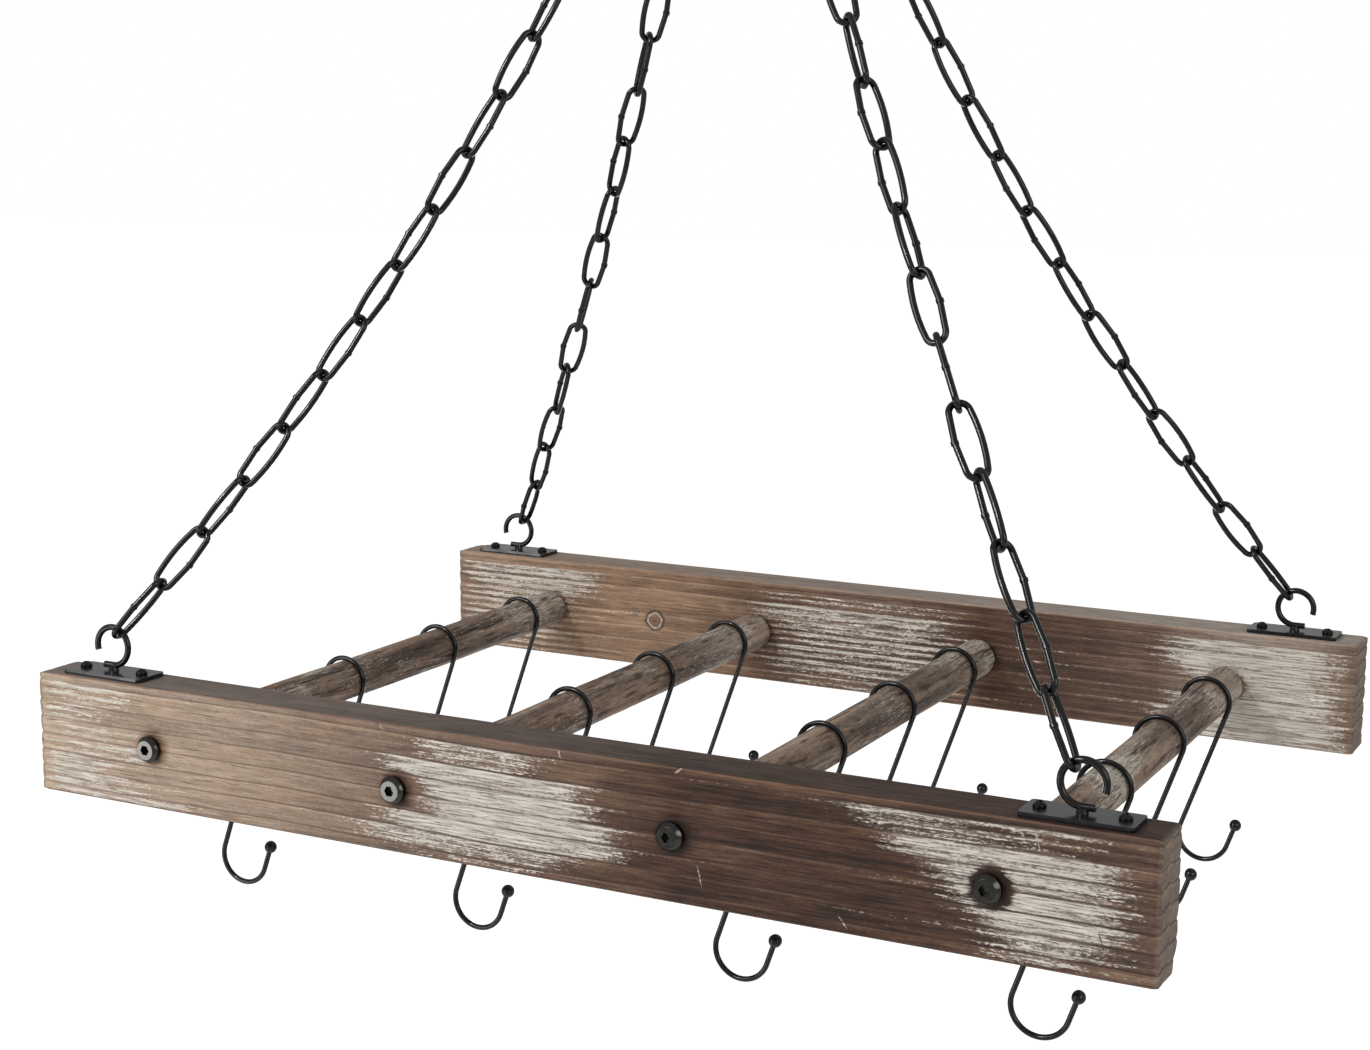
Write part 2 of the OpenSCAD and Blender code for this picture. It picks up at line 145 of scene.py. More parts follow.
# What the wood of the beams and the rungs has in common. The weights by pattern say how far each
# pattern pushes a value up and down, and the edges where a coat begins and is full.
firLook = {
    # each cell's length along the grain and width across it in mm, a shift that keeps the
    # patterns apart, and the finer layers in it
    "patterns": {
        "warp": (7, 5, 17.9, 2.0),         # keeps the ridges and knots from being even
        "bands": (110, 1.9, 3.1, 2.0),     # colour bands inside a growth ring
        "fibres": (26, 0.95, 7.7, 3.0),    # single fibres are 0.04 mm, so these are bundles
        "streaks": (60, 1.5, 1.9, 4.0),    # the brush's path through the whitewash
        "scrapes": (22, 1.0, 13.7, 3.0),   # where the bristles took it off again, drawn coarser
        "specks": (2.4, 0.9, 5.3, 3.0),    # dry whitewash caught on the fibres
        "blots": (30, 10, 11.3, 2.0),      # uneven stain
        "saws": (1.3, 16, 23.9, 2.0),      # the saw's teeth left faint marks across it
    },
    "fineLayers": 0.6,                     # how strong the finer layers are
    "stain": {"bands": 0.38, "blots": 0.32, "specks": 0.24},
    "rub": {"streaks": 0.6},
    "rubEdges": {"From Min": 0.3, "From Max": 0.9},
    "cover": {"streaks": 1.3, "scrapes": 1.5, "specks": 1.9},
    "coverEdges": {"From Min": 0.43, "From Max": 0.77},
    "coverOnLine": -0.6,                   # whitewash doesn't hold in a dark line
    "smear": {"streaks": 0.9, "specks": 0.5},
    "smearEdges": {"From Min": 0.22, "From Max": 0.85},
    "haze": {"specks": 1.1, "saws": 0.7},
    "lineStrength": 0.7,
    "lineBreaks": {"fibres": 0.7},
    "hairEdges": {"From Min": 0.56, "From Max": 0.67},
    "relief": {"fibres": 0.6, "bands": 0.8},
    "lineRelief": -0.6,
    "filmRelief": 0.25,
    "reliefHeight": 0.45,                  # in mm
    "roughness": {"To Min": 0.62, "To Max": 0.86},   # of bare wood and of whitewash
    "gloss": {"IOR": 1.45, "Specular IOR Level": 0.3},
}
knotLook = {
    "under": 1,                            # mm from the face in to its middle
    "uneven": {"warp": 0.5},
    "inside": {"From Min": 1.15, "From Max": 0.95},
    "rings": 13.0,                         # radians of wave from its middle to its rim
    "ringTint": 0.06,
    "tint": 0.12,
    # a dark crack round it and chalk inside that: the mark, its place in radii, where it
    # begins and is full on either side, and its strength
    "rims": [("line", 1.0, 0.2, 0.06, 0.6), ("veil", 0.76, 0.14, 0.03, 0.7)],
}
scratchLook = {
    "depth": 4,                            # mm that it reaches into the wood
    "edges": {"From Min": 1.0, "From Max": 0.6},
    "strength": 0.6,
    "breaks": {"specks": 1.6},
}
smooth = {"interpolation_type": "SMOOTHSTEP"}


# The wood's patterns by name, stretched along the grain
def grainPatterns(tree, place, finish):
    grain = {}
    for name, (along, across, shift, detail) in firLook["patterns"].items():
        scale = [1 / (across * mm)] * 3
        scale[finish["grainAxis"]] = 1 / (along * finish["run"] * mm)
        spread = addNode(tree, "Mapping", {
            "Scale": scale, "Location": (shift, shift, shift), "Vector": (place, "Object")})
        grain[name] = addNode(tree, "TexNoise", {
            "Scale": 1.0, "Detail": detail, "Roughness": firLook["fineLayers"], "Vector": spread})
    return grain


# A value, or a number, that patterns push up and down by their weights
def pushed(tree, grain, value, weights):
    for name, weight in weights.items():
        push = addNode(tree, "Math", {"operation": "SUBTRACT", 0: grain[name], 1: noiseMiddle})
        value = addNode(tree, "Math", {"operation": "MULTIPLY_ADD", 0: push, 1: weight, 2: value})
    return value


# The dark line that ends a growth ring, with the shade of its hollow painted in, and the pale crest
# just below it, and finer ridges, which stand out towards the beam's ends. Crests and ridge tops
# take more whitewash and a painted highlight in the tint, and the finer ridges painted shade between.
def addRings(tree, grain, marks, finish):
    stops = [((line + off) / finish["height"], colour)
             for line in finish["lines"] for off, colour in finish["lineShape"]]
    rings = addNode(tree, "ValToRGB", {"stops": stops, "Fac": marks["down"]})
    rings = addNode(tree, "SeparateColor", {"Color": rings})
    marks["line"] = addNode(tree, "Math", {
        "operation": "MULTIPLY", 0: marks["line"], 1: (rings, "Red")})
    waves = finish["height"] / finish["ridgeStep"] * 2 * pi
    ridges = addNode(tree, "Math", {"operation": "MULTIPLY", 0: marks["down"], 1: waves})
    ridges = pushed(tree, grain, ridges, finish["ridgeSway"])
    ridges = addNode(tree, "Math", {"operation": "SINE", 0: ridges})
    ridges = addNode(tree, "Math", {"operation": "MULTIPLY", 0: ridges, 1: marks["ridged"]})
    # whitewash caught on crests and ridges, and painted highlight and shade in the tint
    for mark, onCrest, onRidge in finish["ringWashAndHighlight"]:
        for source, share in (((rings, "Green"), onCrest), (ridges, onRidge)):
            marks[mark] = addNode(tree, "Math", {
                "operation": "MULTIPLY_ADD", 0: source, 1: share, 2: marks[mark]})


# A knot has a dark rim, fine rings of its own and whitewash only in the crack round it
def addKnot(tree, place, grain, marks, centre, radius):
    away = addNode(tree, "VectorMath", {
        "operation": "DISTANCE", 0: (place, "Object"), 1: [c * mm for c in centre]})
    away = addNode(tree, "Math", {"operation": "DIVIDE", 0: (away, "Value"), 1: radius * mm})
    away = pushed(tree, grain, away, knotLook["uneven"])
    inside = addNode(tree, "MapRange", knotLook["inside"] | {"Value": away})
    waves = addNode(tree, "Math", {"operation": "MULTIPLY", 0: away, 1: knotLook["rings"]})
    waves = addNode(tree, "Math", {"operation": "SINE", 0: waves})
    waves = addNode(tree, "Math", {
        "operation": "MULTIPLY_ADD", 0: waves, 1: knotLook["ringTint"], 2: knotLook["tint"]})
    darker = addNode(tree, "Math", {"operation": "MULTIPLY", 0: inside, 1: waves})
    marks["tint"] = addNode(tree, "Math", {"operation": "SUBTRACT", 0: marks["tint"], 1: darker})
    marks["wash"] = addNode(tree, "Math", {"operation": "SUBTRACT", 0: marks["wash"], 1: inside})
    for mark, spot, begins, full, strength in knotLook["rims"]:
        rim = addNode(tree, "Math", {"operation": "SUBTRACT", 0: away, 1: spot})
        rim = addNode(tree, "Math", {"operation": "ABSOLUTE", 0: rim})
        rim = addNode(tree, "MapRange", {
            "From Min": begins, "From Max": full, "To Max": strength, "Value": rim})
        marks[mark] = addNode(tree, "Math", {"operation": "MAXIMUM", 0: marks[mark], 1: rim})


# A scratch shows pale bare fibres, and a crack is dark
def addScratch(tree, place, grain, marks, centre, lean, length, width, pale):
    spot = addNode(tree, "Mapping", {
        "vector_type": "TEXTURE", "Location": [c * mm for c in centre], "Rotation": (0, lean, 0),
        "Scale": (width * mm, scratchLook["depth"] * mm, length * mm), "Vector": (place, "Object")})
    spot = addNode(tree, "VectorMath", {"operation": "LENGTH", 0: spot})
    spot = addNode(tree, "MapRange", scratchLook["edges"] | {"Value": (spot, "Value")})
    strength = pushed(tree, grain, scratchLook["strength"], scratchLook["breaks"])
    spot = addNode(tree, "Math", {
        "operation": "MULTIPLY", "use_clamp": True, 0: spot, 1: strength})
    mark = "veil" if pale else "line"
    marks[mark] = addNode(tree, "Math", {"operation": "MAXIMUM", 0: marks[mark], 1: spot})


# Stained wood under the whitewash: brown, greyed by age, and paler where it was rubbed
def bareWood(tree, grain, marks, finish):
    shade = pushed(tree, grain, marks["tint"], firLook["stain"] | {"fibres": finish["fibre"]})
    brown, ashen, rubbed = (
        addNode(tree, "ValToRGB", {"stops": finish[stops], "Fac": shade})
        for stops in ("browns", "greys", "rubbed"))
    bare = addNode(tree, "Mix", {
        "data_type": "RGBA", "Factor": marks["grey"], "A": brown, "B": ashen})
    wear = pushed(tree, grain, marks["worn"], firLook["rub"])
    wear = addNode(tree, "MapRange", smooth | firLook["rubEdges"] | {"Value": wear})
    return addNode(tree, "Mix", {"data_type": "RGBA", "Factor": wear, "A": bare, "B": rubbed})


# The film of whitewash, from 0 to 1. It holds where its mark, the brush's path, the bristles and
# the specks add up, is smeared thinly between, and lies as a haze where the mesh says veil.
def whitewash(tree, grain, marks, finish):
    cover = pushed(tree, grain, marks["wash"], firLook["cover"])
    cover = addNode(tree, "Math", {
        "operation": "MULTIPLY_ADD", 0: marks["line"], 1: firLook["coverOnLine"], 2: cover})
    film = addNode(tree, "MapRange", smooth | firLook["coverEdges"] | {
        "To Max": finish["washCover"], "Value": cover})
    smear = pushed(tree, grain, marks["wash"], firLook["smear"])
    smear = addNode(tree, "MapRange", smooth | firLook["smearEdges"] | {
        "To Max": finish["smear"], "Value": smear})
    film = addNode(tree, "Math", {"operation": "MAXIMUM", 0: film, 1: smear})
    held = addNode(tree, "MapRange", finish["holds"] | {"Value": marks["wash"]})
    film = addNode(tree, "Math", {"operation": "MULTIPLY", 0: film, 1: held})
    haze = pushed(tree, grain, 1.0, firLook["haze"])
    haze = addNode(tree, "Math", {
        "operation": "MULTIPLY", "use_clamp": True, 0: marks["veil"], 1: haze})
    return addNode(tree, "Math", {"operation": "MAXIMUM", 0: film, 1: haze})


# Dark lines: the ends of the growth rings, cracks, and the gaps between bundles of fibres. Their
# colour is partly the wood's own dark and partly painted shade in the hollows and cracks
def darkLinesAndShade(tree, grain, marks, finish):
    lines = pushed(tree, grain, firLook["lineStrength"], firLook["lineBreaks"])
    lines = addNode(tree, "Math", {"operation": "MULTIPLY", 0: marks["line"], 1: lines})
    lines = addNode(tree, "Math", {
        "operation": "MULTIPLY", "use_clamp": True, 0: lines, 1: finish["lineDark"]})
    hairs = addNode(tree, "MapRange", smooth | firLook["hairEdges"] | {
        "To Max": finish["hairDark"], "Value": grain["fibres"]})
    return addNode(tree, "Math", {"operation": "MAXIMUM", 0: lines, 1: hairs})


# Weathered fir: sawn, wire-brushed along the grain, stained brown and rubbed with a thin
# whitewash. It gives soft brown bands with fine fibres, dark lines where a growth ring ends, with
# the shade of their hollows painted in and a painted highlight on the pale crest below each, and
# chalky, broken streaks of white that stop at bolts and worn edges.
# The mesh holds the marks: tint 0 dark to 1 pale, and from 0 to 1 wash, line, worn, grey and veil,
# which is a thin even coat of the whitewash. A beam's mesh also has down, the place from its top
# to its bottom edge, and ridged, how much its finer ridges show.
def weatheredFir(name, finish):
    material, tree = newMaterial(name)
    place = addNode(tree, "TexCoord", {})
    grain = grainPatterns(tree, place, finish)
    marks = {}
    for mark in finish["marks"]:
        marks[mark] = (addNode(tree, "Attribute", {"attribute_name": mark}), "Fac")
    if finish["lines"]:
        addRings(tree, grain, marks, finish)
    for knot in finish["knots"]:
        addKnot(tree, place, grain, marks, *knot)
    for scratch in finish["scratches"]:
        addScratch(tree, place, grain, marks, *scratch)

    bare = bareWood(tree, grain, marks, finish)
    film = whitewash(tree, grain, marks, finish)
    lime = addNode(tree, "ValToRGB", {"stops": finish["limes"], "Fac": grain["scrapes"]})
    dressed = addNode(tree, "Mix", {"data_type": "RGBA", "Factor": film, "A": bare, "B": lime})
    # the dark lines take a colour that is dark wood with painted shade of the hollows and cracks
    colour = addNode(tree, "Mix", {
        "data_type": "RGBA", "Factor": darkLinesAndShade(tree, grain, marks, finish), "A": dressed,
        "B": tone(finish["lineAndShadeColour"])})

    relief = pushed(tree, grain, 0.0, firLook["relief"])
    for source, share in ((marks["line"], firLook["lineRelief"]), (film, firLook["filmRelief"])):
        relief = addNode(tree, "Math", {
            "operation": "MULTIPLY_ADD", 0: source, 1: share, 2: relief})
    bump = addNode(tree, "Bump", {
        "Strength": finish["relief"], "Distance": firLook["reliefHeight"] * mm, "Height": relief})
    dull = addNode(tree, "MapRange", firLook["roughness"] | {"Value": film})
    surface = addNode(tree, "BsdfPrincipled", firLook["gloss"] | {
        "Base Color": colour, "Roughness": dull, "Normal": bump})
    addNode(tree, "OutputMaterial", {"Surface": surface})
    return material


beamFinish = {
    "browns": [(0.0, "22130b"), (0.2, "452d20"), (0.42, "69513f"), (0.68, "957a62"), (1.0, "b69a7d")],
    "greys": [(0.0, "322b27"), (0.4, "675e58"), (1.0, "948c86")],
    "rubbed": [(0.0, "553c2c"), (0.5, "8a6a54"), (1.0, "b9a189")],
    "limes": [(0.3, "877f75"), (0.68, "d0cabf")],
    # colour of the dark lines: dark latewood and hairlines, with painted shade of hollows and cracks
    "lineAndShadeColour": "2a1c15",
    "marks": ["tint", "wash", "line", "worn", "grey", "veil", "down", "ridged"],
    "grainAxis": 0,           # the grain runs along X
    "run": 1.0,               # how far the patterns run along the grain
    "washCover": 0.94,
    "smear": 0.52,
    "holds": {"From Min": 0.1, "From Max": 0.3},   # the wash mark that it takes to hold whitewash
    "fibre": 0.7,
    "lineDark": 1.5,
    "hairDark": 0.62,
    "relief": 0.6,
    # across a growth ring's end, in mm: red is the dark line, with the shade of its hollow painted in,
    # and green the pale crest, which takes whitewash and a painted highlight
    "lineShape": [(-0.75, "000000"), (0.1, "ff0000"), (0.9, "00ff00"), (3.6, "000000")],
    "ridgeStep": 5.4,         # mm from ridge to ridge
    "ridgeSway": {"warp": 3.0},
    "ringWashAndHighlight": [("wash", 0.2, 0.34), ("tint", 0.12, 0.15)],   # whitewash on crests and ridges, and a painted highlight in the tint
}
rungFinish = {
    "browns": [(0.0, "24160e"), (0.3, "563d2d"), (0.6, "826853"), (1.0, "ab947e")],
    "greys": [(0.0, "37312c"), (0.5, "6f665f"), (1.0, "a19a92")],
    "rubbed": [(0.0, "4e4037"), (0.5, "84736a"), (1.0, "a89b8f")],
    "limes": [(0.25, "857d73"), (0.65, "c4bdb2")],
    # colour of the hairlines, and painted shade in the open cracks
    "lineAndShadeColour": "231b16",
    "marks": ["tint", "wash", "line", "worn", "grey", "veil"],
    "grainAxis": 1,           # the grain runs along Y
    "run": 0.4,
    "washCover": 0.85,
    "smear": 0.4,
    "holds": {"From Min": -0.2, "From Max": 0.1},
    "fibre": 1.35,
    "lineDark": 1.4,
    "hairDark": 0.6,
    "relief": 0.9,
    "lines": [],
    "knots": [],
    "scratches": [],
}
rungNames = ["rung_1", "rung_2", "rung_3", "rung_4"]

# Lines are growth rings, in mm down from the top edge. Each patch of whitewash has a start, an end
# and a strength for every ring from the first line down. What runs along a beam is a list of places
# in mm and values there. Tints run from dark 0 to pale 1. Knots and scratches show on the face
# towards the front: a knot has its place along the beam and above its middle and its radius, and a
# scratch its place, lean, half its length and width, and whether it's pale.
beams = {
    "front_beam": {
        "seed": 11,
        "lines": [5, 18.5, 29.5, 41, 52, 62.5, 73.5],
        "lineDark": 1.0,
        "patches": [
            ([-372] * 7,
             [-290, -310, -300, -270, -315, -290, -250],
             [0.7, 0.6, 0.55, 0.6, 0.9, 0.66, 0.6]),
            ([-80, -100, -75, -70, -100, -120, -110],
             [12, 40, 44, 60, 62, 38, 22],
             [0.62, 0.9, 0.95, 0.95, 0.9, 0.6, 0.35]),
            ([200, 226, 250, 266, 276, 286, 280],
             [350, 355, 355, 360, 360, 352, 340],
             [0.4, 0.78, 0.74, 0.82, 0.86, 0.62, 0.46]),
        ],
        "tints": [(-375, 0.74), (-300, 0.58), (-180, 0.53), (-95, 0.35), (40, 0.24), (100, 0.12),
                  (200, 0.1), (290, 0.16), (375, 0.26)],
        "veils": [(-375, 0.28), (-250, 0.26), (-110, 0.12), (0, 0.05), (90, 0), (220, 0), (375, 0.04)],
        "ridged": [(-375, 1), (-300, 0.8), (-200, 0.25), (-90, 0.1), (150, 0), (230, 0.5), (375, 0.6)],
        "topTints": [(-375, 0.44), (-60, 0.26), (100, 0.08), (375, 0.08)],
        "topGrey": [(-375, 0.8), (20, 0.6), (150, 0.15), (375, 0.05)],
        "topVeils": [(-375, 0), (375, 0)],
        "nicks": [(-104.6, 1.2), (21.3, 1.0), (98.2, 0.8)],   # place along the beam and depth
        "chip": (1, 1, -1),                                   # the corner that broke away
        "knots": [],
        "scratches": [
            (112, -21, -0.23, 7, 0.5, True), (308, 30, -0.3, 7, 0.55, True),
            (330, 19.5, -0.5, 4, 0.6, True), (199.5, -33, -0.7, 5, 0.5, True),
            (344, -19, -0.32, 6.5, 0.5, False), (360, -29, -0.85, 8, 0.45, False),
            (21, 37, -0.4, 3, 0.8, True), (98, 38, 0.9, 3, 0.8, True), (-104, 38, -0.8, 3, 0.8, True),
        ],
    },
    "back_beam": {
        "seed": 23,
        "lines": [7, 16, 28, 37, 48, 59, 71],
        "lineDark": 0.55,
        "patches": [
            ([-362] * 7,
             [-236, -240, -262, -280, -262, -270, -290],
             [0.7, 0.66, 0.5, 0.4, 0.45, 0.5, 0.4]),
            ([-90, -100, -84, -70, -76, -92, -80],
             [79, 70, 60, 75, 84, 60, 66],
             [0.44, 0.58, 0.52, 0.46, 0.5, 0.4, 0.3]),
            ([242, 236, 250, 262, 246, 240, 256],
             [366] * 7,
             [0.8, 0.95, 1.0, 1.0, 0.98, 0.95, 0.85]),
        ],
        "tints": [(-375, 0.46), (-300, 0.5), (-190, 0.54), (-100, 0.36), (60, 0.24), (150, 0.14),
                  (230, 0.26), (300, 0.44), (375, 0.36)],
        "veils": [(-375, 0.1), (-240, 0), (-100, 0), (0, 0.08), (100, 0), (230, 0.05), (300, 0.3),
                  (350, 0.25), (375, 0.05)],
        "ridged": [(-375, 1), (-260, 0.8), (-200, 0), (-110, 0), (-80, 0.7), (70, 0.7), (110, 0.1),
                   (215, 0.2), (250, 0.6), (300, 0.4), (375, 0.4)],
        "topTints": [(-375, 0.6), (0, 0.5), (375, 0.5)],
        "topGrey": [(-375, 0.3), (375, 0.6)],
        "topVeils": [(-375, 0.06), (0, 0.22), (375, 0.42)],
        "nicks": [(60, 0.8)],
        "chip": (-1, 1, 1),
        "knots": [(-185, -1.5, 8), (-203, 4, 3)],
        "scratches": [],
    },
}
# Lengths are in mm. Where a row has noise, it ends in the length and the width of the noise's cells.
beamLook = {
    "cells": (201, 45, 151),         # points along, through and up
    "edge": (1.2, 2.0, 2.0),         # rounding of the edges
    "ringBends": [(2.4, 170), (0.8, 45)],   # how far the growth rings wander, and over what length
    "ringArch": (1.6, 1.4),          # how far they arch on the sawn ends, and over what half angle
    "pastEdge": 9,                   # the rings that the faces cut off end this far outside
    "ridgeShape": (5, 0.05),         # how late a ridge falls off, and how soon it has risen
    "ridgeWorn": (0.25, 80, 2.1),    # share of their height that some ridges lost
    "ringDepth": 0.55,               # how far the brush dug into the soft wood
    "brushed": (0.55, 0.45),         # of that depth, all along and more of it at the ends
    "brushedEnds": (0.25, 0.9),      # where the ends begin, as shares of the half length
    "brushUneven": (0.25, 60, 1),
    "faceFibres": [(0.12, 30, 1.4)],
    "topSway": (1.2, 120),
    "topFibres": [(0.15, 90, 2.4), (0.075, 30, 1.1)],
    "endDepth": 0.8,
    "endRough": [(0.35, 2.6, 2.2), (0.5, 9, 7)],
    "edgeWear": (0.1, 0.5, 34),      # handling: everywhere, more here and there, and how often
    "nickWidth": 1.6,
    "nickReach": (4, 0.5),           # from the top edge, where a nick begins and is full
    "chipSize": (9, 11, 17),
    "chipRough": (0.4, 3),
    "lineBroken": (0.55, 50, 11),    # share of a dark line that fades
    "lineFade": (-760, 60),          # the lines are fainter to the left
    "endLine": 0.7,
    "washJitter": 40,                # how the patches on the hidden faces differ
    "startSteps": (1.37, 0.4),       # from ring to ring, and for the first
    "endSteps": (1.71, 0.2),
    "patchStart": (-26, 24),         # how softly a patch starts and ends
    "patchEnd": (-32, 28),
    "topRing": 0.4,                  # share of a patch that stays above the first line
    "ringFoot": (0.14, 0.75),        # less whitewash at the foot of a ring
    "washUneven": (0.3, 120, 2.3),
    "tintUneven": (0.16, 150, 1.9),
    "veilUneven": (0.4, 70, 1.3),
    "ridgedBroken": (0.6, 60, 11),
    "topUneven": (0.1, 110, 9),
    "endTint": 0.38,
    "endUneven": (0.2, 4, 3),
    "endVeil": 0.12,
    "endGrey": 0.35,
    "boltSpots": (-282, -94, 94, 282),
    "boltStainAndShadow": (8.25, 15),         # from a bolt, where the stain and painted shadow are full and have gone
    "shadowShift": 2,                   # the stain and the head's painted shadow lie this far right of the bolt
    "stainBare": 0.25,
    "stainAndShadowDark": 0.2,
    "strip": (0.4, 0.8),             # the worn strip ends this far under and over the first line
    "stripWear": (0.75, 0.5, 60),
    "stripWorn": 0.55,
    "flatFace": (0.2, 0.6),
    "edgeWorn": 0.8,
    "endEdge": (1.5, 6),             # from the end, where the worn edge is full and has gone
    "endSpared": 0.6,
    "wornBare": 0.8,                 # how much whitewash the wear took off
}


# The skin of a block as one closed sheet of quads, with its edges rounded
def blockSkin(half, cells, edge):
    counts = np.array(cells)
    i, j, k = np.indices(cells)
    skin = ((np.minimum(np.minimum(i, j), k) == 0) | (i == counts[0] - 1) | (j == counts[1] - 1)
            | (k == counts[2] - 1))
    ids = np.full(cells, -1)
    ids[skin] = np.arange(skin.sum())
    flat = np.stack([g[skin] / (n - 1) * 2 - 1 for g, n in zip((i, j, k), cells)], 1) * half
    faces = []
    for axis in range(3):
        for last in (0, 1):
            sheet = np.take(ids, last * (cells[axis] - 1), axis=axis)
            quads = np.stack([sheet[:-1, :-1], sheet[1:, :-1], sheet[1:, 1:], sheet[:-1, 1:]], -1)
            quads = quads.reshape(-1, 4)
            faces.append(quads if (last == 1) != (axis == 1) else quads[:, ::-1])
    inner = np.clip(flat, edge - half, half - edge)
    out = (flat - inner) / edge
    out /= np.linalg.norm(out, axis=1)[:, None]
    points = inner + edge * out
    normals = out / edge
    normals /= np.linalg.norm(normals, axis=1)[:, None]
    return points, normals, np.concatenate(faces).tolist()


# Which growth ring a height lies in, and how far down it
def ringPlace(down, lines, height):
    past = beamLook["pastEdge"]
    edges = np.array([-past, *lines, height + past], float)
    ring = np.clip(np.searchsorted(edges, down) - 1, 0, len(edges) - 2)
    upper, lower = edges[ring], edges[ring + 1]
    return ring, (down - upper) / (lower - upper)


# Where each point of a beam's skin lies: on which side, in which growth ring and how far down it
def beamPlaces(beam, half, points, normals):
    skin = SimpleNamespace(seed=beam["seed"], half=half)
    skin.x, skin.y, skin.z = points.T
    skin.onEnd, skin.onFace, skin.onTop = (normals ** 2).T
    skin.corner = np.minimum(skin.onFace, skin.onTop) * 4   # 1 on the long edges
    skin.hidden = (skin.y > 0).astype(int)   # the face towards the back has its own patches
    skin.down = half[2] - skin.z
    for spot, (reach, length) in enumerate(beamLook["ringBends"]):
        skin.down += wobble(skin.seed + spot, reach, skin.x / length, skin.hidden * 3)
    arch, angle = beamLook["ringArch"]
    skin.down += arch * skin.onEnd * np.cos(skin.y / half[1] * angle)
    skin.ring, skin.share = ringPlace(skin.down, beam["lines"], 2 * half[2])
    return skin


# Noise about zero along the beam that differs from growth ring to growth ring
def ringWobble(seed, skin, reach, length, step):
    return wobble(seed, reach, skin.x / length, skin.ring * step)


# What runs along a beam, at each point
def alongBeam(skin, stops):
    places, values = zip(*stops)
    return np.interp(skin.x, places, values)


# How much wood the saw, the brush and handling took off at each point, in mm
def beamDepth(skin, beam):
    look, seed = beamLook, skin.seed
    late, soon = look["ridgeShape"]
    ridge = (1 - skin.share ** late) * (1 - np.exp(-skin.share / soon))
    evenly, more = look["brushed"]
    brush = evenly + more * rise(np.abs(skin.x) / skin.half[0], *look["brushedEnds"])
    brush += ringWobble(seed + 2, skin, *look["brushUneven"])
    faceRidge = ridge * broken(seed + 3, skin.x, skin.down, *look["ridgeWorn"])
    faceDepth = look["ringDepth"] * brush * (1 - faceRidge)
    faceDepth += layers(seed + 4, look["faceFibres"], skin.x, skin.down)
    sway, length = look["topSway"]
    across = skin.y + wobble(seed + 5, sway, skin.x / length)
    topDepth = layers(seed + 6, look["topFibres"], skin.x, across)
    endDepth = look["endDepth"] * (1 - ridge) + layers(seed + 8, look["endRough"], skin.y, skin.z)
    depth = skin.onFace * faceDepth + skin.onTop * topDepth + skin.onEnd * endDepth

    evenly, more, length = look["edgeWear"]
    side = np.sign(skin.z) + 2 + skin.hidden
    depth += skin.corner * (evenly + more * softNoise(seed + 10, skin.x / length, side) ** 2)
    begins, full = look["nickReach"]
    nearEdge = rise(skin.z, skin.half[2] - begins, skin.half[2] - full)
    nearEdge = nearEdge * rise(-skin.y, skin.half[1] - begins, skin.half[1] - full)
    for place, nickDepth in beam["nicks"]:
        depth += nickDepth * hump(skin.x, place, look["nickWidth"]) * nearEdge
    return depth


# A corner of the end broke away when it was sawn: how each point moves for that
def chipMove(skin, beam, points):
    outward, size = np.array(beam["chip"]), np.array(beamLook["chipSize"])
    into = ((outward * skin.half - points) * outward / size).sum(1)
    reach, cell = beamLook["chipRough"]
    rough = 1 + wobble(skin.seed + 12, reach, skin.y / cell, skin.z / cell)
    return -(np.clip(1 - into, 0, 1) * rough)[:, None] * outward * size / len(size)


# Patches of whitewash, which end at a different place in each growth ring
def washMark(skin, beam):
    look = beamLook
    wash = np.zeros(len(skin.x))
    band = np.clip(skin.ring - 1, 0, len(beam["lines"]) - 1)
    kept = np.where(skin.ring > 0, 1, look["topRing"])
    jitter = skin.hidden * look["washJitter"]
    for spot, patch in enumerate(beam["patches"]):
        start, end, strength = (np.array(values, float)[band] for values in patch)
        step, first = look["startSteps"]
        start += wobble(skin.seed + 20 + spot, jitter, skin.ring * step + first)
        step, first = look["endSteps"]
        end += wobble(skin.seed + 30 + spot, jitter, skin.ring * step + first)
        begun = rise(skin.x, *(start + off for off in look["patchStart"]))
        ended = rise(skin.x, *(end + off for off in look["patchEnd"]))
        wash = np.maximum(wash, strength * kept * begun * (1 - ended))
    less, place = look["ringFoot"]
    wash -= less * rise(skin.share, place, 1)
    return wash + ringWobble(skin.seed + 14, skin, *look["washUneven"])


# The wood round a bolt is stained and holds no whitewash. The mark lies to the right of the bolt,
# so it also paints in the shadow of the bolt head
def stainAndShadowMark(skin):
    stain = np.zeros(len(skin.x))
    for bolt in beamLook["boltSpots"]:
        away = np.hypot(skin.x - bolt - beamLook["shadowShift"], skin.z)
        stain = np.maximum(stain, 1 - rise(away, *beamLook["boltStainAndShadow"]))
    return stain


# Wear: the strip above the first growth ring, the long edges and the edges of the ends
def wornMark(skin, beam):
    look, first = beamLook, beam["lines"][0]
    under, over = look["strip"]
    evenly, reach, length = look["stripWear"]
    strip = rise(-skin.down, -first - under, -first + over)
    strip = strip * (evenly + wobble(skin.seed + 18, reach, skin.x / length))
    worn = look["stripWorn"] * strip * rise(skin.onFace, *look["flatFace"])
    worn = np.maximum(worn, skin.corner * look["edgeWorn"])
    fromEnd = np.abs(np.abs(skin.x) - skin.half[0])
    endWorn = look["edgeWorn"] - rise(fromEnd, *look["endEdge"]) - skin.onEnd * look["endSpared"]
    return np.maximum(worn, endWorn)


